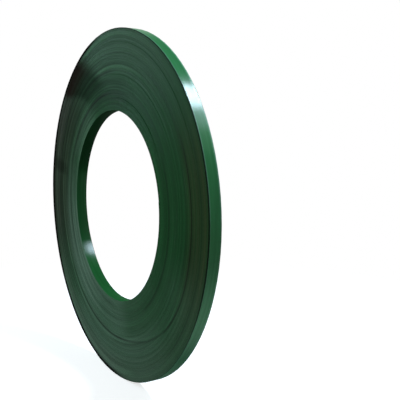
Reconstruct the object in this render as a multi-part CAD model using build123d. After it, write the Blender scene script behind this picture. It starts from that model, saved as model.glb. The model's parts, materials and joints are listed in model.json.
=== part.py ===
from build123d import *
import os

# A roll of painted steel strapping, wound ribbon fashion: every turn lies on the one before,
# so the roll is only as wide as the strap. It stands on its rim with the bore along Y, and the
# end that shows faces -Y. Millimetres, +Z up, origin on the floor under the middle of the roll.

# The strap, and the mandrel that it was wound on
strap_width = 25.4
strap_thickness = 0.8
strap_edge_round = 0.25
bore_diameter = 406.4

# The winding, from the bore outwards. The strap wandered a little from side to side as it was
# wound, so a band of turns stands proud at one end and back at the other. A shift is how far
# the band stands towards the end that shows.
winding_bands = [
    {"turns": 14, "shift": 0.0},
    {"turns": 20, "shift": 0.3},
    {"turns": 18, "shift": -0.4},
    {"turns": 24, "shift": 0.1},
    {"turns": 16, "shift": 0.4},
    {"turns": 16, "shift": 0.0},
    {"turns": 22, "shift": -0.3},
    {"turns": 10, "shift": -0.5},
    {"turns": 22, "shift": 0.2},
    {"turns": 11, "shift": 0.5},
    {"turns": 16, "shift": -0.2},
    {"turns": 21, "shift": 0.1},
]

turn_count = sum(band["turns"] for band in winding_bands)
outer_radius = bore_diameter / 2 + turn_count * strap_thickness


def wound_section():
    """The winding cut through on one side of the bore, with its radius along X and its width along Y."""
    section = Sketch()
    inner_radius = bore_diameter / 2
    for band in winding_bands:
        build_up = band["turns"] * strap_thickness
        place = Pos(inner_radius + build_up / 2, -band["shift"])
        section += place * Rectangle(build_up, strap_width)
        inner_radius += build_up
    return section


def with_rounded_edges(section):
    """Rounds the strap's edges where they show whole, at the bore and at the rim."""
    corners = section.vertices().group_by(Axis.X)
    return fillet(corners[0] + corners[-1], strap_edge_round)


roll_at_origin = revolve(with_rounded_edges(wound_section()), Axis.Y)
strap_coil = Pos(0, 0, outer_radius) * roll_at_origin

os.makedirs("parts", exist_ok=True)
export_step(strap_coil, "parts/strap_coil.step")
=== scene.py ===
import json
import math

import bpy
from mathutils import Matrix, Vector


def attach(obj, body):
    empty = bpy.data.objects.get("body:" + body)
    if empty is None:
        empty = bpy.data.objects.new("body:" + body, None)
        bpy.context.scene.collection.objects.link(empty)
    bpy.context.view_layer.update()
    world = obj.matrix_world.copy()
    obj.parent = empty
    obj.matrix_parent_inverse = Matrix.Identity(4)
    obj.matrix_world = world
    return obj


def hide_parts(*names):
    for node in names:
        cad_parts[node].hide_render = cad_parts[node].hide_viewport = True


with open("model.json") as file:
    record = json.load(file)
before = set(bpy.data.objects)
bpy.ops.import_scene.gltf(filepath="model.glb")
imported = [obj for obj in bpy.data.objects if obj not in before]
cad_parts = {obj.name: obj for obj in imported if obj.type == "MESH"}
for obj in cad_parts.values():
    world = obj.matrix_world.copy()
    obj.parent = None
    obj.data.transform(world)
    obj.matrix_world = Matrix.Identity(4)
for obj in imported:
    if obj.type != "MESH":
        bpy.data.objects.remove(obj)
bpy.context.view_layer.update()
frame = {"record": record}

# The wound strap
# One length of cold-rolled steel strap, painted green, wound edge over edge on a mandrel. Each turn
# lies tight on the one before, so the two ends of the roll show every edge of the strap as a fine
# ridge, and only the first and the last turn show the broad painted side, in the bore and on the rim.

mm = 0.001
bore_mount = next(mount for mount in frame["record"]["mounts"] if mount["name"] == "bore")
roll_centre = Vector(bore_mount["pos_m"])
bore_radius = bore_mount["dims"]["r_mm"] * mm
rim_radius = roll_centre.z

strap_width = 25.4 * mm
edge_crown = 0.1 * mm
edge_shoulder = 2.0 * mm
edge_rows = 4
groove_depth = 0.15 * mm

# The winding starts in the bore and runs clockwise as the end that shows is seen. It finishes under
# the roll, where its weight holds the free end against the floor.
lap_steps = 96
laps = 208 + 30 / lap_steps
finish_angle = math.radians(255)
start_angle = finish_angle + 2 * math.pi * laps
lap_pitch = (rim_radius - bore_radius - 2 * edge_crown) / (laps + 1)

# Turns in each band of the winding, and how far the band stands towards the end that shows
winding_bands = [
    (14, 0.0), (20, 0.3), (18, -0.4), (24, 0.1), (16, 0.4), (16, 0.0),
    (22, -0.3), (10, -0.5), (22, 0.2), (11, 0.5), (16, -0.2), (21, 0.1),
]
band_slip_laps = 0.6

# The strap wanders sideways as it is wound: laps from one swing to the next, and how far it goes
wander_swings = [(6.0, 0.16 * mm), (0.8, 0.10 * mm)]
wander_limit = 0.5 * mm

# Points of the skin closer than this are one point
merge_distance = 0.02 * mm


def feed(tree, socket, value):
    """Links a socket to another, or sets it to a plain value."""
    if isinstance(value, bpy.types.NodeSocket):
        tree.links.new(value, socket)
    else:
        socket.default_value = value


def add(tree, kind, inputs=None, **settings):
    """A new node with its settings and inputs, where an input is named or numbered."""
    node = tree.nodes.new(kind)
    for name, value in settings.items():
        setattr(node, name, value)
    for name, value in (inputs or {}).items():
        feed(tree, node.inputs[name], value)
    return node


def calc(tree, operation, *values):
    """One step of arithmetic, as a Math node's output."""
    inputs = dict(enumerate(values))
    return add(tree, "ShaderNodeMath", inputs, operation=operation).outputs[0]


def sockets(tree, way, kind, *names):
    """Named sockets on a tree's interface."""
    return [tree.interface.new_socket(name, in_out=way, socket_type=kind) for name in names]


def sideways_shift_group():
    """How far the strap stands towards the end that shows, at any lap along it."""
    tree = bpy.data.node_groups.new("sideways shift", "GeometryNodeTree")
    sockets(tree, "INPUT", "NodeSocketFloat", "Lap", "Wander Seed")
    sockets(tree, "OUTPUT", "NodeSocketFloat", "Shift")
    given = add(tree, "NodeGroupInput").outputs
    lap = given["Lap"]
    shift = winding_bands[0][1] * mm
    turns_wound = 0
    for (turns, here), (_, there) in zip(winding_bands, winding_bands[1:]):
        turns_wound += turns
        slip = add(tree, "ShaderNodeMapRange", {
            "Value": lap,
            "From Min": turns_wound - band_slip_laps / 2,
            "From Max": turns_wound + band_slip_laps / 2,
            "To Min": 0.0,
            "To Max": (there - here) * mm,
        }, interpolation_type="SMOOTHSTEP").outputs["Result"]
        shift = calc(tree, "ADD", shift, slip)
    for laps_apart, depth in wander_swings:
        place = calc(tree, "ADD", calc(tree, "DIVIDE", lap, laps_apart), given["Wander Seed"])
        wander = add(tree, "ShaderNodeTexNoise", {"W": place, "Scale": 1.0, "Detail": 1.0},
                     noise_dimensions="1D").outputs["Fac"]
        swing = calc(tree, "MULTIPLY", calc(tree, "SUBTRACT", wander, 0.5), 2 * depth)
        shift = calc(tree, "ADD", shift, swing)
    kept = calc(tree, "MAXIMUM", calc(tree, "MINIMUM", shift, wander_limit), -wander_limit)
    add(tree, "NodeGroupOutput", {"Shift": kept})
    return tree


turn_sizes = ("Bore Radius", "Lap Pitch", "Strap Width", "Groove Depth", "Wander Seed")


def turn_edge_group(shift_group):
    """Where a turn's edge is at a lap: row 0 is the groove inside it, 1 its crest, 2 the groove outside."""
    tree = bpy.data.node_groups.new("edge of a turn", "GeometryNodeTree")
    sockets(tree, "INPUT", "NodeSocketFloat", "Lap", "Row", "Side", *turn_sizes)
    sockets(tree, "OUTPUT", "NodeSocketFloat", "Radius", "Across")
    given = add(tree, "NodeGroupInput").outputs
    lap, row, side = given["Lap"], given["Row"], given["Side"]
    half_turns = calc(tree, "MULTIPLY", row, 0.5)
    build_up = calc(tree, "MULTIPLY", calc(tree, "ADD", lap, half_turns), given["Lap Pitch"])
    radius = calc(tree, "ADD", given["Bore Radius"], build_up)
    inside = calc(tree, "MAXIMUM", calc(tree, "SUBTRACT", 1.0, row), 0.0)
    outside = calc(tree, "MAXIMUM", calc(tree, "SUBTRACT", row, 1.0), 0.0)
    groove = calc(tree, "ADD", inside, outside)
    facing = calc(tree, "MULTIPLY", side, -1.0)
    proud = []
    for neighbour in (calc(tree, "SUBTRACT", lap, inside), calc(tree, "ADD", lap, outside)):
        shift = add(tree, "GeometryNodeGroup", node_tree=shift_group)
        feed(tree, shift.inputs["Lap"], neighbour)
        feed(tree, shift.inputs["Wander Seed"], given["Wander Seed"])
        proud.append(calc(tree, "MULTIPLY", shift.outputs["Shift"], facing))
    height = calc(tree, "SUBTRACT", calc(tree, "MINIMUM", *proud),
                  calc(tree, "MULTIPLY", groove, given["Groove Depth"]))
    half_width = calc(tree, "MULTIPLY", given["Strap Width"], 0.5)
    across = calc(tree, "MULTIPLY", calc(tree, "ADD", half_width, height), side)
    add(tree, "NodeGroupOutput", {"Radius": radius, "Across": across})
    return tree


class Winding:
    """The tree that winds the strap, with its named sizes and the sheets that close its skin."""

    sizes = {
        "Bore Radius": bore_radius + edge_crown,
        "Lap Pitch": lap_pitch,
        "Strap Width": strap_width,
        "Groove Depth": groove_depth,
        "Wander Seed": 11.0,
        "Edge Crown": edge_crown,
        "Edge Shoulder": edge_shoulder,
        "Start Angle": start_angle,
        "Centre Height": roll_centre.z,
    }

    def __init__(self):
        self.tree = bpy.data.node_groups.new("wound strap", "GeometryNodeTree")
        sockets(self.tree, "OUTPUT", "NodeSocketGeometry", "Strap")
        self.named = sockets(self.tree, "INPUT", "NodeSocketFloat", *self.sizes)
        self.given = add(self.tree, "NodeGroupInput").outputs
        self.edge_group = turn_edge_group(sideways_shift_group())

    def calc(self, operation, *values):
        """One step of arithmetic in this tree."""
        return calc(self.tree, operation, *values)

    def edge(self, lap, row, side):
        """The radius of a turn's edge and its place across the roll."""
        node = add(self.tree, "GeometryNodeGroup", node_tree=self.edge_group)
        for name, value in (("Lap", lap), ("Row", row), ("Side", side)):
            feed(self.tree, node.inputs[name], value)
        for name in turn_sizes:
            feed(self.tree, node.inputs[name], self.given[name])
        return node.outputs["Radius"], node.outputs["Across"]

    def sheet(self, columns, rows):
        """A flat sheet of points to be laid on the roll, with each point's column and row."""
        grid = add(self.tree, "GeometryNodeMeshGrid", {"Vertices X": columns, "Vertices Y": rows})
        index = add(self.tree, "GeometryNodeInputIndex").outputs[0]
        column = self.calc("FLOOR", self.calc("DIVIDE", index, rows))
        row = self.calc("SUBTRACT", index, self.calc("MULTIPLY", column, rows))
        return grid.outputs["Mesh"], column, row

    def lay(self, mesh, step, radius, across, lap, beside, groove, flip):
        """Lays a sheet on the roll, and keeps how far along and across the strap each corner is."""
        turned = self.calc("MULTIPLY", self.calc("MODULO", step, lap_steps), 2 * math.pi / lap_steps)
        angle = self.calc("SUBTRACT", self.given["Start Angle"], turned)
        place = add(self.tree, "ShaderNodeCombineXYZ", {
            "X": self.calc("MULTIPLY", radius, self.calc("COSINE", angle)),
            "Y": across,
            "Z": self.calc("MULTIPLY_ADD", radius, self.calc("SINE", angle), self.given["Centre Height"]),
        }).outputs[0]
        strap_map = add(self.tree, "ShaderNodeCombineXYZ", {"X": lap, "Y": beside}).outputs[0]
        at_points = add(self.tree, "GeometryNodeFieldOnDomain", data_type="FLOAT_VECTOR", domain="POINT")
        feed(self.tree, at_points.inputs[0], strap_map)
        mesh = self.keep(mesh, "strap_map", at_points.outputs[0], "FLOAT2", "CORNER")
        mesh = self.keep(mesh, "groove", groove, "FLOAT", "POINT")
        mesh = add(self.tree, "GeometryNodeSetPosition", {"Geometry": mesh, "Position": place}).outputs[0]
        if flip:
            mesh = add(self.tree, "GeometryNodeFlipFaces", {"Mesh": mesh}).outputs[0]
        return mesh

    def keep(self, mesh, name, value, data_type, domain):
        """Stores a value on the mesh under a name."""
        node = add(self.tree, "GeometryNodeStoreNamedAttribute", {"Geometry": mesh, "Name": name},
                   data_type=data_type, domain=domain)
        feed(self.tree, node.inputs["Value"], value)
        return node.outputs[0]

    def wound_end(self, side):
        """One end of the roll, where every turn shows its edge."""
        mesh, step, row = self.sheet(round(laps * lap_steps) + 1, 3)
        lap = self.calc("DIVIDE", step, lap_steps)
        radius, across = self.edge(lap, row, side)
        groove = self.calc("ABSOLUTE", self.calc("SUBTRACT", row, 1.0))
        beside = self.calc("MULTIPLY", row, 0.5)
        return self.lay(mesh, step, radius, across, lap, beside, groove, flip=side > 0)

    def strap_side(self, lap, step, edge_row, row, mesh, outward, crowned, flip):
        """A broad side or a cut end of the strap, flat in the middle and rounded over at both edges."""
        last_row = 2 * edge_rows - 1
        past_middle = self.calc("GREATER_THAN", row, last_row / 2)
        side = self.calc("SUBTRACT", self.calc("MULTIPLY", past_middle, 2.0), 1.0)
        radius, across = self.edge(lap, edge_row, side)
        from_edge = self.calc("MINIMUM", row, self.calc("SUBTRACT", last_row, row))
        share = self.calc("DIVIDE", from_edge, edge_rows - 1)
        inset = self.calc("MULTIPLY", self.calc("MULTIPLY", share, share), self.given["Edge Shoulder"])
        across = self.calc("SUBTRACT", across, self.calc("MULTIPLY", inset, side))
        fall = self.calc("POWER", self.calc("SUBTRACT", 1.0, share), 3.0)
        rise = self.calc("MULTIPLY", self.calc("SUBTRACT", 1.0, fall), self.given["Edge Crown"])
        radius = self.calc("MULTIPLY_ADD", self.calc("MULTIPLY", rise, crowned), outward, radius)
        beside = self.calc("DIVIDE", row, last_row)
        on_edge = self.calc("LESS_THAN", from_edge, 0.5)
        return self.lay(mesh, step, radius, across, lap, beside, on_edge, flip)

    def broad_side(self, first_lap, edge_row, outward):
        """The painted side of one whole turn: the first, in the bore, or the last, on the rim."""
        mesh, column, row = self.sheet(lap_steps + 1, 2 * edge_rows)
        step = self.calc("ADD", column, round(first_lap * lap_steps))
        lap = self.calc("DIVIDE", step, lap_steps)
        return self.strap_side(lap, step, edge_row, row, mesh, outward, 1.0, flip=outward < 0)

    def cut_end(self, lap, outward):
        """The sheared end of the strap, one thickness high."""
        mesh, column, row = self.sheet(3, 2 * edge_rows)
        crowned = self.calc("ABSOLUTE", self.calc("SUBTRACT", column, 1.0))
        step = round(lap * lap_steps)
        return self.strap_side(lap, step, column, row, mesh, outward, crowned, flip=outward > 0)

    def close(self, ends, sides, cuts, materials):
        """Joins the sheets into one skin, sharp in the grooves, with each kind of surface in its finish."""
        joined = add(self.tree, "GeometryNodeJoinGeometry")
        for finish, meshes in enumerate((ends, sides, cuts)):
            for mesh in meshes:
                kept = self.keep(mesh, "finish", finish, "INT", "FACE")
                self.tree.links.new(kept, joined.inputs[0])
        skin = add(self.tree, "GeometryNodeMergeByDistance",
                   {"Geometry": joined.outputs[0], "Distance": merge_distance}).outputs[0]
        groove = add(self.tree, "GeometryNodeInputNamedAttribute", {"Name": "groove"}).outputs["Attribute"]
        sharp = self.calc("GREATER_THAN", groove, 0.9)
        smooth = add(self.tree, "GeometryNodeSetShadeSmooth", {"Geometry": skin}, domain="FACE").outputs[0]
        creased = add(self.tree, "GeometryNodeSetShadeSmooth", {
            "Geometry": smooth, "Selection": sharp, "Shade Smooth": False,
        }, domain="EDGE").outputs[0]
        real = add(self.tree, "GeometryNodeRealizeInstances", {"Geometry": creased}).outputs[0]
        which = add(self.tree, "GeometryNodeInputNamedAttribute", {"Name": "finish"},
                    data_type="INT").outputs["Attribute"]
        done = real
        for finish, material in enumerate(materials):
            dressed = add(self.tree, "GeometryNodeSetMaterial", {"Geometry": done, "Material": material})
            if finish > 0:
                feed(self.tree, dressed.inputs["Selection"], self.calc("COMPARE", which, finish, 0.1))
            done = dressed.outputs[0]
        add(self.tree, "NodeGroupOutput", {"Strap": done})

    def wind(self, name):
        """Runs the tree and returns the strap as a plain mesh object."""
        carrier = bpy.data.objects.new(name + "_tree", bpy.data.meshes.new(name + "_tree"))
        bpy.context.scene.collection.objects.link(carrier)
        modifier = carrier.modifiers.new("wound strap", "NODES")
        modifier.node_group = self.tree
        for socket in self.named:
            modifier[socket.identifier] = self.sizes[socket.name]
        evaluated = carrier.evaluated_get(bpy.context.evaluated_depsgraph_get())
        mesh = bpy.data.meshes.new_from_object(evaluated)
        bpy.data.objects.remove(carrier)
        mesh.materials.pop(index=0)
        mesh.name = name
        piece = bpy.data.objects.new(name, mesh)
        bpy.context.scene.collection.objects.link(piece)
        return piece


# The edges of the turns
# Painted with the rest of the strap after slitting, so they are a thinner, duller green. Every turn has
# its own tone from the winding and the handling, the outer turns are worn brown, and grime marks them.


def ramp(tree, value, low, high, start=0.0, end=1.0):
    """A smooth change from start to end while a value goes from low to high."""
    return add(tree, "ShaderNodeMapRange", {
        "Value": value, "From Min": low, "From Max": high, "To Min": start, "To Max": end,
    }, interpolation_type="SMOOTHSTEP").outputs["Result"]


def noise(tree, place, scale, detail=2.0, along_line=False):
    """Noise between 0 and 1 at a place, or along a line where the place is one number."""
    if along_line:
        return add(tree, "ShaderNodeTexNoise", {"W": place, "Scale": scale, "Detail": detail},
                   noise_dimensions="1D").outputs["Fac"]
    return add(tree, "ShaderNodeTexNoise", {"Vector": place, "Scale": scale, "Detail": detail}).outputs["Fac"]


def tint(tree, share, under, over):
    """One colour laid over another by a share between 0 and 1."""
    node = add(tree, "ShaderNodeMix", data_type="RGBA")
    for socket, value in ((node.inputs[0], share), (node.inputs[6], under), (node.inputs[7], over)):
        feed(tree, socket, value)
    return node.outputs[2]


def shade(tree, colour, level):
    """A colour made lighter or darker by a level that is 1 where it stays."""
    grey = add(tree, "ShaderNodeCombineColor", {"Red": level, "Green": level, "Blue": level}).outputs[0]
    node = add(tree, "ShaderNodeMix", data_type="RGBA", blend_type="MULTIPLY")
    for socket, value in ((node.inputs[0], 1.0), (node.inputs[6], colour), (node.inputs[7], grey)):
        feed(tree, socket, value)
    return node.outputs[2]


def roll_place_group():
    """Where a point is on the roll: its radius as a share of the rim's, and the way round it."""
    tree = bpy.data.node_groups.new("place on the roll", "ShaderNodeTree")
    sockets(tree, "INPUT", "NodeSocketVector", "Place")
    sockets(tree, "OUTPUT", "NodeSocketFloat", "Radius", "Right", "Up", "Angle")
    place = add(tree, "NodeGroupInput").outputs["Place"]
    x, _, z = add(tree, "ShaderNodeSeparateXYZ", {0: place}).outputs
    right = calc(tree, "DIVIDE", x, rim_radius)
    up = calc(tree, "DIVIDE", calc(tree, "SUBTRACT", z, roll_centre.z), rim_radius)
    radius = calc(tree, "SQRT", calc(tree, "MULTIPLY_ADD", right, right, calc(tree, "MULTIPLY", up, up)))
    angle = calc(tree, "DEGREES", calc(tree, "ARCTAN2", up, right))
    add(tree, "NodeGroupOutput", {
        "Radius": radius,
        "Right": calc(tree, "DIVIDE", right, radius),
        "Up": calc(tree, "DIVIDE", up, radius),
        "Angle": calc(tree, "FLOORED_MODULO", angle, 360.0),
    })
    return tree


def streaks_group(place_group):
    """Marks drawn out along the strap by rolling and winding: soft streaks, and a few sharp scuffs."""
    tree = bpy.data.node_groups.new("streaks along the strap", "ShaderNodeTree")
    sockets(tree, "INPUT", "NodeSocketVector", "Place")
    sockets(tree, "INPUT", "NodeSocketFloat", "Across", "Streaks Along", "Streaks Across", "Scuff Share")
    sockets(tree, "OUTPUT", "NodeSocketFloat", "Streak", "Scuff")
    given = add(tree, "NodeGroupInput").outputs
    spot = add(tree, "ShaderNodeGroup", node_tree=place_group)
    feed(tree, spot.inputs["Place"], given["Place"])
    drawn = add(tree, "ShaderNodeCombineXYZ", {
        "X": calc(tree, "MULTIPLY", spot.outputs["Right"], given["Streaks Along"]),
        "Y": calc(tree, "MULTIPLY", given["Across"], given["Streaks Across"]),
        "Z": calc(tree, "MULTIPLY", spot.outputs["Up"], given["Streaks Along"]),
    }).outputs[0]
    streak = noise(tree, drawn, 1.0, 3.0)
    finer = noise(tree, add(tree, "ShaderNodeVectorMath", {0: drawn, 1: (2.0, 3.1, 2.0)},
                            operation="MULTIPLY").outputs[0], 1.0, 1.0)
    bar = calc(tree, "SUBTRACT", 1.0, given["Scuff Share"])
    scuff = ramp(tree, finer, bar, calc(tree, "ADD", bar, 0.1))
    add(tree, "NodeGroupOutput", {"Streak": streak, "Scuff": scuff})
    return tree


def use_group(tree, group, **inputs):
    """A group placed in a material with its own values."""
    node = add(tree, "ShaderNodeGroup", node_tree=group)
    for name, value in inputs.items():
        feed(tree, node.inputs[name.replace("_", " ").title()], value)
    return node.outputs


def new_material(name):
    """An empty material with its shader, and the place and strap coordinates that it reads."""
    material = bpy.data.materials.new(name)
    material.use_nodes = True
    tree = material.node_tree
    shader = tree.nodes["Principled BSDF"]
    place = add(tree, "ShaderNodeTexCoord").outputs["Object"]
    strap_map = add(tree, "ShaderNodeAttribute", attribute_name="strap_map").outputs["Vector"]
    lap, beside, _ = add(tree, "ShaderNodeSeparateXYZ", {0: strap_map}).outputs
    return material, tree, shader, place, lap, beside


def bump(tree, shader, height, strength, depth):
    """Fine relief on the paint, too shallow for the mesh."""
    relief = add(tree, "ShaderNodeBump", {"Strength": strength, "Distance": depth, "Height": height})
    feed(tree, shader.inputs["Normal"], relief.outputs["Normal"])


place_group = roll_place_group()
streaks = streaks_group(place_group)


def angle_mask(tree, angle, middle, half_width, soft):
    """A share that is 1 within some degrees of a direction round the roll, and fades outside it."""
    off = calc(tree, "ABSOLUTE", calc(tree, "WRAP", calc(tree, "SUBTRACT", angle, middle), 180.0, -180.0))
    return ramp(tree, off, half_width, half_width + soft, 1.0, 0.0)


def wound_edges():
    """The painted edges of the turns, packed side by side."""
    material, tree, shader, place, lap, beside = new_material("wound_strap_edges")
    spot = use_group(tree, place_group, place=place)
    radius, angle = spot["Radius"], spot["Angle"]
    marks = use_group(tree, streaks, place=place, across=radius, streaks_along=1.6, streaks_across=60.0,
                      scuff_share=0.36)

    def both(*shares):
        """The shares multiplied together."""
        whole = shares[0]
        for share in shares[1:]:
            whole = calc(tree, "MULTIPLY", whole, share)
        return whole

    def most(shares):
        """The largest of the shares."""
        largest = shares[0]
        for share in shares[1:]:
            largest = calc(tree, "MAXIMUM", largest, share)
        return largest

    def along_lap(scale, start, end, detail=2.0):
        """A value that wanders between start and end along the strap, at so many swings a lap."""
        return ramp(tree, noise(tree, lap, scale, detail, along_line=True), 0.3, 0.7, start, end)

    green = (0.0096, 0.0550, 0.0164, 1.0)
    brown = (0.0232, 0.0388, 0.0127, 1.0)
    sheen_and_dust_grey = (0.0785, 0.138, 0.092, 1.0)
    grime_and_sheen_grey = (0.0238, 0.0300, 0.0215, 1.0)
    dust_grey = (0.0620, 0.0600, 0.0490, 1.0)
    dust_pale = (0.0880, 0.0880, 0.0800, 1.0)
    outline_black = (0.0030, 0.0032, 0.0024, 1.0)
    wedge_green = (0.0054, 0.0128, 0.0062, 1.0)
    wedge_black = (0.0122, 0.0074, 0.0056, 1.0)
    scuff_grey = (0.085, 0.143, 0.106, 1.0)

    # The marks of its handling, and the painted sheen and shade, are on the end that shows; the other end is
    # only dusty
    across = add(tree, "ShaderNodeSeparateXYZ", {0: place}).outputs[1]
    showing = ramp(tree, across, -5 * mm, 5 * mm, 1.0, 0.0)

    def towards(middle, half_width, soft, *shares):
        """A share of the end that shows, in one direction: its middle, half width and fade in degrees."""
        return both(showing, angle_mask(tree, angle, middle, half_width, soft), *shares)

    # Brown where the paint of the outer turns has rubbed thin
    worn = towards(0.0, 12.0, 32.0, ramp(tree, radius, 0.78, 0.87), along_lap(0.07, 0.45, 0.85))
    colour = tint(tree, worn, green, brown)

    # Painted sheen: a pale grey-green haze that stands in for the sheen of the lamps on the edges, on the top
    # of the end and down its lower left side, less at the foot. The other end has an even haze of dust in it.
    broken = ramp(tree, marks["Streak"], 0.3, 0.7, 0.85, 1.1)
    sheen_gap = towards(299.0, 9.0, 16.0, ramp(tree, radius, 0.70, 0.78, 0.60, 0.0))
    sheen_and_dust = [
        towards(84.0, 14.0, 50.0, ramp(tree, radius, 0.62, 0.92, 0.0, 0.36)),
        towards(136.0, 8.0, 24.0, ramp(tree, radius, 0.62, 0.74, 0.40, 0.0)),
        towards(214.0, 6.0, 80.0, ramp(tree, radius, 0.68, 0.80, 1.0, 0.3)),
        towards(266.0, 20.0, 50.0, calc(tree, "MULTIPLY_ADD", sheen_gap, -0.56, 0.56)),
        towards(324.0, 6.0, 20.0, ramp(tree, radius, 0.62, 0.80, 0.06, 0.19)),
        calc(tree, "MULTIPLY_ADD", showing, -0.15, 0.15),
    ]
    colour = tint(tree, both(most(sheen_and_dust), broken), colour, sheen_and_dust_grey)

    # Grime from handling on the left, whose grey also paints in the sheen that the matt grime lacks, and a
    # dark wedge that runs in from the rim
    left_grime = towards(165.0, 22.0, 42.0, ramp(tree, radius, 0.60, 0.80, 0.1, 0.80), broken)
    colour = tint(tree, left_grime, colour, grime_and_sheen_grey)
    colour = tint(tree, both(left_grime, along_lap(0.16, -0.25, 0.55)), colour, brown)
    outer_dust = most([
        towards(146.0, 7.0, 12.0, ramp(tree, radius, 0.84, 0.90, 0.0, 0.42)),
        towards(165.0, 20.0, 25.0, ramp(tree, radius, 0.84, 0.88, 0.0, 0.24)),
        towards(260.0, 75.0, 25.0, ramp(tree, radius, 0.84, 0.90, 0.0, 0.10)),
    ])
    colour = tint(tree, both(outer_dust, broken), colour, dust_grey)
    foot_dust = towards(243.0, 22.0, 20.0, ramp(tree, radius, 0.86, 0.95, 0.0, 0.19))
    colour = tint(tree, foot_dust, colour, dust_pale)
    wedge_way = ramp(tree, radius, 0.60, 1.02, 107.0, 128.0)
    wedge_foot = angle_mask(tree, angle, calc(tree, "SUBTRACT", wedge_way, 6.0), 13.0, 6.0)
    wedge_depth = calc(tree, "ADD", ramp(tree, radius, 0.60, 0.78, 0.0, 0.73),
                        ramp(tree, radius, 0.84, 0.93, 0.0, 0.24))
    dark_wedge = towards(wedge_way, 6.0, 11.0, wedge_depth, broken, wedge_foot)
    # A thin dark line runs out along 166 degrees
    dark_radial_line = towards(166.0, 1.0, 3.5, ramp(tree, radius, 0.66, 0.82, 0.0, 0.4))

    # Each turn has its own tone, and turns that were wound together have theirs
    level = both(along_lap(0.9, 0.85, 1.15), along_lap(0.33, 0.91, 1.09), along_lap(0.12, 0.90, 1.10),
                 along_lap(0.07, 0.84, 1.16), ramp(tree, marks["Streak"], 0.3, 0.7, 0.90, 1.10))
    handled = angle_mask(tree, angle, 155.0, 65.0, 35.0)
    spread = ramp(tree, handled, 0.0, 1.0, 0.50, 1.25)
    spread = calc(tree, "MULTIPLY_ADD", angle_mask(tree, angle, 152.0, 45.0, 25.0), 0.45, spread)
    level = calc(tree, "MULTIPLY_ADD", calc(tree, "SUBTRACT", level, 1.0), spread, 1.0)
    # Painted shade on the inner part of the top of the end
    shaded = towards(94.0, 12.0, 20.0, ramp(tree, radius, 0.66, 0.76, 0.26, 0.0))
    level = both(level, calc(tree, "SUBTRACT", 1.0, shaded))
    # Each turn is darker towards the grooves at its sides
    groove = ramp(tree, calc(tree, "ABSOLUTE", calc(tree, "SUBTRACT", beside, 0.5)), 0.30, 0.48, 1.0, 0.45)
    level = both(level, groove)

    # Rubbed lines and bands follow the turns part of the way round: radius, half width, middle, half
    # angle, and the share of the tone that is lost. Below zero it is paler. The line that drifts outwards
    # across the foot, with the paler lines beside it, is painted shade and light, not a mark on the turns.
    painted_shade_line = calc(tree, "MAXIMUM", ramp(tree, angle, 274.0, 336.0, 0.766, 0.853),
                 ramp(tree, angle, 40.0, 90.0, 0.853, 0.766))
    rubbed_lines = [
        (painted_shade_line, 0.008, 248.0, 24.0, 0.56),
        (painted_shade_line, 0.009, 292.0, 14.0, 0.32),
        (painted_shade_line, 0.010, 350.0, 30.0, 0.62),
        (calc(tree, "SUBTRACT", painted_shade_line, 0.016), 0.009, 275.0, 32.0, -0.16),
        (calc(tree, "ADD", painted_shade_line, 0.019), 0.009, 255.0, 16.0, -0.14),
        (0.580, 0.020, 10.0, 26.0, -0.24),
        (0.583, 0.022, 250.0, 12.0, 0.20),
        (0.602, 0.012, 140.0, 30.0, 0.18),
        (0.627, 0.009, 112.0, 22.0, -0.30),
        (0.640, 0.024, 232.0, 12.0, -0.20),
        (0.645, 0.009, 122.0, 20.0, 0.60),
        (0.645, 0.012, 345.0, 32.0, 0.34),
        (0.663, 0.009, 124.0, 18.0, -0.30),
        (0.672, 0.018, 48.0, 16.0, 0.18),
        (0.722, 0.030, 232.0, 44.0, -0.20),
        (0.725, 0.025, 76.0, 8.0, -0.18),
        (0.753, 0.009, 142.0, 12.0, 0.20),
        (0.755, 0.022, 250.0, 8.0, 0.26),
        (0.768, 0.018, 105.0, 10.0, 0.36),
        (0.786, 0.024, 190.0, 16.0, -0.28),
        (0.793, 0.009, 282.0, 8.0, 0.30),
        (0.795, 0.009, 90.0, 22.0, -0.16),
        (0.828, 0.012, 272.0, 22.0, 0.20),
        (0.828, 0.009, 345.0, 24.0, -0.20),
        (0.830, 0.009, 197.0, 30.0, 0.46),
        (0.843, 0.026, 40.0, 16.0, 0.18),
        (0.849, 0.009, 130.0, 24.0, 0.20),
        (0.845, 0.090, 348.0, 2.0, 0.20),
        (0.880, 0.009, 350.0, 25.0, -0.14),
        (0.915, 0.024, 174.0, 10.0, -0.28),
        (0.938, 0.009, 350.0, 30.0, 0.26),
        (0.942, 0.009, 132.0, 20.0, 0.24),
        (0.952, 0.022, 243.0, 33.0, -0.50),
        (0.957, 0.020, 104.0, 6.0, -0.35),
    ]
    for line_radius, half_width, middle, half_angle, loss in rubbed_lines:
        off_line = calc(tree, "ABSOLUTE", calc(tree, "SUBTRACT", radius, line_radius))
        rubbed = towards(middle, half_angle, 14.0, ramp(tree, off_line, half_width / 4, half_width, 1.0, 0.0))
        level = both(level, calc(tree, "MULTIPLY_ADD", rubbed, -loss, 1.0))
    colour = shade(tree, colour, level)

    # Pale arcs where single turns were scuffed
    scuff_start = calc(tree, "ADD", lap, 300.0)
    scuffed_turn = ramp(tree, noise(tree, scuff_start, 0.45, 1.0, along_line=True), 0.62, 0.70)
    colour = tint(tree, both(scuffed_turn, marks["Scuff"], 0.35), colour, scuff_grey)
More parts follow.
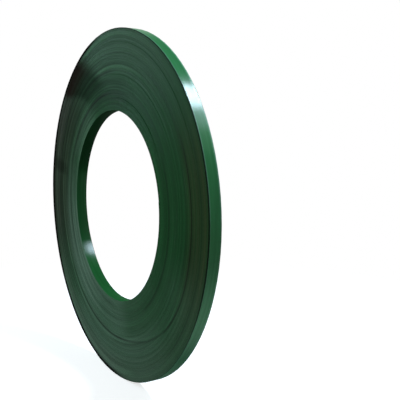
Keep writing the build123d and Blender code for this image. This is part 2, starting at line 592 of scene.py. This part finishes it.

    # The edges of the last turns are painted black as a dark outline round the end, over more turns on the
    # left
    outward = calc(tree, "SUBTRACT", laps, lap)
    outline_break = calc(tree, "SUBTRACT", 1.0, angle_mask(tree, angle, 308.0, 20.0, 14.0))
    black_turns = calc(tree, "MULTIPLY_ADD", angle_mask(tree, angle, 178.0, 4.0, 42.0), 11.0, 9.0)
    black_turns = calc(tree, "MULTIPLY_ADD", angle_mask(tree, angle, 222.0, 12.0, 20.0), 4.5, black_turns)
    blackened = ramp(tree, calc(tree, "DIVIDE", outward, black_turns), 0.55, 1.3, 0.98, 0.0)
    darkened_share = most([
        dark_radial_line,
        both(ramp(tree, lap, laps - 2.5, laps - 1.0, 0.0, 0.75), outline_break),
        towards(5.0, 12.0, 32.0, ramp(tree, outward, 1.5, 3.5, 0.85, 0.0)),
        towards(188.0, 78.0, 14.0, blackened),
        towards(177.0, 10.0, 20.0, ramp(tree, radius, 0.945, 0.975), 0.5),
    ])
    # The dark wedge is black at the rim and a darker green further in
    wedge_colour = tint(tree, ramp(tree, radius, 0.80, 0.93), wedge_green, wedge_black)
    colour = tint(tree, dark_wedge, colour, wedge_colour)
    colour = tint(tree, darkened_share, colour, outline_black)
    darkened_share = calc(tree, "MAXIMUM", darkened_share, dark_wedge)

    feed(tree, shader.inputs["Base Color"], colour)
    feed(tree, shader.inputs["Roughness"], along_lap(0.8, 0.38, 0.54))
    shader.inputs["Specular IOR Level"].default_value = 0.0
    clean = both(calc(tree, "SUBTRACT", 1.0, darkened_share), calc(tree, "MULTIPLY_ADD", left_grime, -0.8, 1.0))
    feed(tree, shader.inputs["Coat Weight"], both(along_lap(0.6, 0.04, 0.10), clean))
    shader.inputs["Coat Roughness"].default_value = 0.3
    shader.inputs["Coat IOR"].default_value = 1.5
    bump(tree, shader, marks["Streak"], 0.3, 0.05 * mm)
    return material


# The broad sides
# Glossy green enamel, dried hard before the strap was wound, and paler where it thins over each edge.
# The rim is dark along its front edge on the right, its pale edges on the upper right are a painted
# highlight, and painted shade darkens the bore, most at top and left, and the rim at its foot and right.


def broad_side_paint():
    """Glossy enamel on the broad side of the strap."""
    material, tree, shader, place, _, _ = new_material("green_strap_paint")
    spot = use_group(tree, place_group, place=place)
    across = add(tree, "ShaderNodeSeparateXYZ", {0: place}).outputs[1]
    marks = use_group(tree, streaks, place=place, across=across, streaks_along=2.5, streaks_across=260.0,
                      scuff_share=0.33)
    enamel = (0.0215, 0.145, 0.045, 1.0)
    bore_enamel = (0.0215, 0.145, 0.031, 1.0)
    pale_enamel = (0.13, 0.29, 0.19, 1.0)
    scuffed_enamel = (0.08, 0.22, 0.12, 1.0)
    shaded_foot_enamel = (0.026, 0.070, 0.042, 1.0)
    front_edge_black = (0.004, 0.009, 0.005, 1.0)

    def around(middle, half_width, soft):
        """A share of the side in one direction from the centre of the roll, in degrees."""
        return angle_mask(tree, spot["Angle"], middle, half_width, soft)

    # Paler where the enamel thins over each edge; on the upper right of the rim the pale edges are also a
    # painted highlight
    from_edge = calc(tree, "SUBTRACT", strap_width / 2, calc(tree, "ABSOLUTE", across))
    pale_edge = ramp(tree, from_edge, 1.2 * mm, 4.2 * mm, 1.0, 0.0)
    edge_thinning_and_highlight = ramp(tree, around(35.0, 24.0, 18.0), 0.0, 1.0, 0.25, 0.80)
    pale_edge = calc(tree, "MULTIPLY", pale_edge, edge_thinning_and_highlight)
    colour = tint(tree, pale_edge, enamel, pale_enamel)
    colour = tint(tree, calc(tree, "MULTIPLY", marks["Scuff"], 0.15), colour, scuffed_enamel)
    on_rim = ramp(tree, spot["Radius"], 0.6, 0.9)

    # The rim is dark along its front edge, on its right side
    from_front = calc(tree, "ADD", across, strap_width / 2)
    dark_front_edge = ramp(tree, from_front, 0.8 * mm, 2.6 * mm, 0.92, 0.0)
    for share in (on_rim, around(0.0, 60.0, 15.0)):
        dark_front_edge = calc(tree, "MULTIPLY", dark_front_edge, share)
    colour = tint(tree, dark_front_edge, colour, front_edge_black)

    def by_wall(bore_value, rim_value):
        """One value in the bore and another on the rim."""
        return add(tree, "ShaderNodeMix", {"Factor": on_rim, 2: bore_value, 3: rim_value}).outputs[0]

    # Painted shade darkens the whole bore, most at its top and left, and the rim at its foot, on its right
    # and near its top; the foot and the right of the rim are also less glossy
    bore_shade_left = around(145.0, 52.0, 36.0)
    bore_shade_top = around(120.0, 34.0, 12.0)
    bore_shade_foot = around(238.0, 8.0, 10.0)
    bore_shade = calc(tree, "MULTIPLY_ADD", bore_shade_left, -0.40, 0.66)
    bore_shade = calc(tree, "MULTIPLY_ADD", bore_shade_top, -0.10, bore_shade)
    bore_shade = calc(tree, "MULTIPLY_ADD", bore_shade_foot, -0.07, bore_shade)
    shaded_matt_foot = around(293.0, 22.0, 18.0)
    shaded_matt_right = around(2.0, 10.0, 16.0)
    shaded_top = around(55.0, 12.0, 8.0)
    rim_shade = calc(tree, "MULTIPLY_ADD", shaded_matt_foot, -0.20, 1.0)
    rim_shade = calc(tree, "MULTIPLY_ADD", shaded_matt_right, -0.22, rim_shade)
    rim_shade = calc(tree, "MULTIPLY_ADD", shaded_top, -0.12, rim_shade)
    rim_gloss = calc(tree, "MULTIPLY_ADD", shaded_matt_foot, -0.85, 1.0)
    rim_gloss = calc(tree, "MULTIPLY_ADD", shaded_matt_right, -0.45, rim_gloss)

    # The mandrel polished two patches on the left of the bore, and more towards its back edge
    bore_gloss = 0.06
    for patch, share in ((around(183.0, 16.0, 8.0), 0.16), (around(220.0, 8.5, 3.0), 0.40)):
        bore_gloss = calc(tree, "MULTIPLY_ADD", patch, share, bore_gloss)
    from_back = calc(tree, "SUBTRACT", strap_width / 2, across)
    bore_gloss = calc(tree, "MULTIPLY", bore_gloss, ramp(tree, from_back, 1 * mm, 24 * mm, 1.65, 0.40))

    # The foot of the rim is tinted a darker, greyer green as painted shade
    foot_shade = calc(tree, "MULTIPLY", calc(tree, "MULTIPLY", shaded_matt_foot, on_rim), 0.45)
    colour = tint(tree, foot_shade, colour, shaded_foot_enamel)
    in_bore = calc(tree, "MULTIPLY_ADD", on_rim, -0.6, 0.6)
    colour = tint(tree, in_bore, colour, bore_enamel)
    along = ramp(tree, marks["Streak"], 0.3, 0.7, 0.9, 1.1)
    colour = shade(tree, colour, calc(tree, "MULTIPLY", by_wall(bore_shade, rim_shade), along))
    feed(tree, shader.inputs["Base Color"], colour)
    feed(tree, shader.inputs["Roughness"], ramp(tree, marks["Streak"], 0.3, 0.7, 0.38, 0.26))
    shader.inputs["Specular IOR Level"].default_value = 0.0
    gloss = ramp(tree, marks["Streak"], 0.3, 0.7, 0.30, 0.40)
    gloss = calc(tree, "MULTIPLY", gloss, by_wall(bore_gloss, rim_gloss))
    gloss = calc(tree, "MULTIPLY", gloss, calc(tree, "SUBTRACT", 1.0, dark_front_edge))
    feed(tree, shader.inputs["Coat Weight"], gloss)
    shader.inputs["Coat Roughness"].default_value = 0.21
    shader.inputs["Coat IOR"].default_value = 1.5
    bump(tree, shader, marks["Streak"], 0.25, 0.05 * mm)
    return material


# The sheared ends
# Where the strap was cut from its parent coil and from the winder. The steel is bare, with the grey
# burnish that the shear leaves.


def sheared_steel():
    """Bare steel at the two cut ends of the strap."""
    material, tree, shader, place, _, _ = new_material("sheared_steel")
    torn_steel = (0.30, 0.30, 0.29, 1.0)
    burnished_steel = (0.48, 0.48, 0.47, 1.0)
    grain = noise(tree, place, 900.0, 2.0)
    feed(tree, shader.inputs["Base Color"], tint(tree, grain, torn_steel, burnished_steel))
    feed(tree, shader.inputs["Roughness"], ramp(tree, grain, 0.3, 0.7, 0.35, 0.55))
    shader.inputs["Metallic"].default_value = 1.0
    bump(tree, shader, grain, 0.4, 0.05 * mm)
    return material


# The roll
# The strap as it comes off the winder, standing on its rim with its weight on the last turn.

winding = Winding()
winding.close(
    ends=[winding.wound_end(-1.0), winding.wound_end(1.0)],
    sides=[
        winding.broad_side(0.0, 0.0, -1.0),
        winding.broad_side(laps - 1, 2.0, 1.0),
    ],
    cuts=[winding.cut_end(0.0, -1.0), winding.cut_end(laps, 1.0)],
    materials=[wound_edges(), broad_side_paint(), sheared_steel()],
)
wound_strap = winding.wind("wound_strap")
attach(wound_strap, "root")
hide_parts("strap_coil")

# The floor
# A plain white studio floor. It is bright enough to be the white of the picture, and it keeps the
# soft shadow of the roll, which fades out into the white around it.

floor_size = 16.0
floor_white = (0.8, 0.8, 0.8, 1.0)
floor_shine = 0.66
far_light = 0.3
shadow_reach = 0.6
white_reach = 1.3
half = floor_size / 2
floor_corners = [(-half, -half, 0), (half, -half, 0), (half, half, 0), (-half, half, 0)]
floor_mesh = bpy.data.meshes.new("studio_floor")
floor_mesh.from_pydata(floor_corners, [], [(0, 1, 2, 3)])
studio_floor = bpy.data.objects.new("studio_floor", floor_mesh)
bpy.context.scene.collection.objects.link(studio_floor)
floor_material = bpy.data.materials.new("white_floor")
floor_material.use_nodes = True


def seen_by_eye(tree):
    """1 for a ray that shows the background, straight or in gloss or glass, and 0 for one that lights."""
    rays = add(tree, "ShaderNodeLightPath").outputs
    shown = calc(tree, "MAXIMUM", rays["Is Glossy Ray"], rays["Is Transmission Ray"])
    return calc(tree, "MAXIMUM", rays["Is Camera Ray"], shown)


floor_tree = floor_material.node_tree
floor_tree.nodes.clear()
floor_seen = seen_by_eye(floor_tree)
floor_place = add(floor_tree, "ShaderNodeTexCoord").outputs["Object"]
floor_reach = add(floor_tree, "ShaderNodeVectorMath", {0: floor_place}, operation="LENGTH").outputs["Value"]
far_off = ramp(floor_tree, floor_reach, shadow_reach, white_reach)
floor_paint = add(floor_tree, "ShaderNodeBsdfDiffuse", {"Color": floor_white})
near_strength = calc(floor_tree, "MULTIPLY", floor_seen, floor_shine)
far_strength = ramp(floor_tree, floor_seen, 0.0, 1.0, far_light, 1.0)
floor_glow = add(floor_tree, "ShaderNodeEmission", {"Strength": near_strength})
near_floor = add(floor_tree, "ShaderNodeAddShader", {0: floor_paint.outputs[0], 1: floor_glow.outputs[0]})
far_floor = add(floor_tree, "ShaderNodeEmission", {"Strength": far_strength})
whole_floor = add(floor_tree, "ShaderNodeMixShader",
                  {0: far_off, 1: near_floor.outputs[0], 2: far_floor.outputs[0]})
add(floor_tree, "ShaderNodeOutputMaterial", {"Surface": whole_floor.outputs[0]})
floor_mesh.materials.append(floor_material)

# The light
# A small bright softbox above and behind the roll, two weaker ones to its right that draw out its
# reflection on the rim, one on the left, a broad one in front of the wound end, and a pale room around.


def softbox(name, place, size, power, colour):
    """A square lamp at a place measured from the centre of the roll, and turned towards it."""
    lamp = bpy.data.lights.new(name, "AREA")
    lamp.size = size
    lamp.energy = power
    lamp.color = colour
    holder = bpy.data.objects.new(name, lamp)
    holder.location = roll_centre + Vector(place)
    holder.rotation_euler = (-Vector(place)).to_track_quat("-Z", "Y").to_euler()
    bpy.context.scene.collection.objects.link(holder)


cool_white = (0.93, 1.0, 1.06)
sky_white = (0.82, 1.03, 1.22)
left_white = (0.72, 1.03, 1.2)
softbox("rim_softbox", (0.513, 0.573, 1.0925), 0.248, 15.4, sky_white)
softbox("glow_softbox", (0.78, 0.65, 1.05), 0.30, 1.8, sky_white)
softbox("back_softbox", (1.1, 0.84, 1.08), 0.55, 1.6, cool_white)
softbox("left_softbox", (-1.66, -1.12, 0.5), 0.7, 13.0, left_white)
softbox("front_softbox", (0.1, -2.0, 0.7), 1.2, 17.0, cool_white)

wall_top = 0.40
ceiling_edge = 0.65
ceiling_tone = 0.2
room_strength = 0.16
room = bpy.data.worlds.new("pale_room")
bpy.context.scene.world = room
room.use_nodes = True
room_tree = room.node_tree
room_tree.nodes.clear()
room_way = add(room_tree, "ShaderNodeTexCoord").outputs["Generated"]
room_height = add(room_tree, "ShaderNodeSeparateXYZ", {0: room_way}).outputs["Z"]
wall_to_ceiling = ramp(room_tree, room_height, wall_top, ceiling_edge, 1.0, ceiling_tone)
unseen = calc(room_tree, "SUBTRACT", 1.0, seen_by_eye(room_tree))
light_given = calc(room_tree, "MULTIPLY", unseen, room_strength)
room_shown = calc(room_tree, "MULTIPLY", seen_by_eye(room_tree), wall_to_ceiling)
room_light = add(room_tree, "ShaderNodeBackground", {
    "Color": (1.0, 1.0, 1.0, 1.0),
    "Strength": calc(room_tree, "ADD", light_given, room_shown),
})
add(room_tree, "ShaderNodeOutputWorld", {"Surface": room_light.outputs[0]})

# The camera
# It stands to the right of the roll, a little above its middle, and looks past it with a plain lens.

camera_place = roll_centre + Vector((1.17413, -0.55626, 0.14017))
camera_turn = math.radians(56.81)
camera_dip = math.radians(5.663)
lens = bpy.data.cameras.new("camera")
lens.sensor_width = 36.0
lens.lens = 54.02
camera = bpy.data.objects.new("camera", lens)
camera.location = camera_place
camera.rotation_euler = (math.pi / 2 - camera_dip, 0.0, camera_turn)
bpy.context.scene.collection.objects.link(camera)
bpy.context.scene.camera = camera
bpy.context.scene.view_settings.view_transform = "Standard"
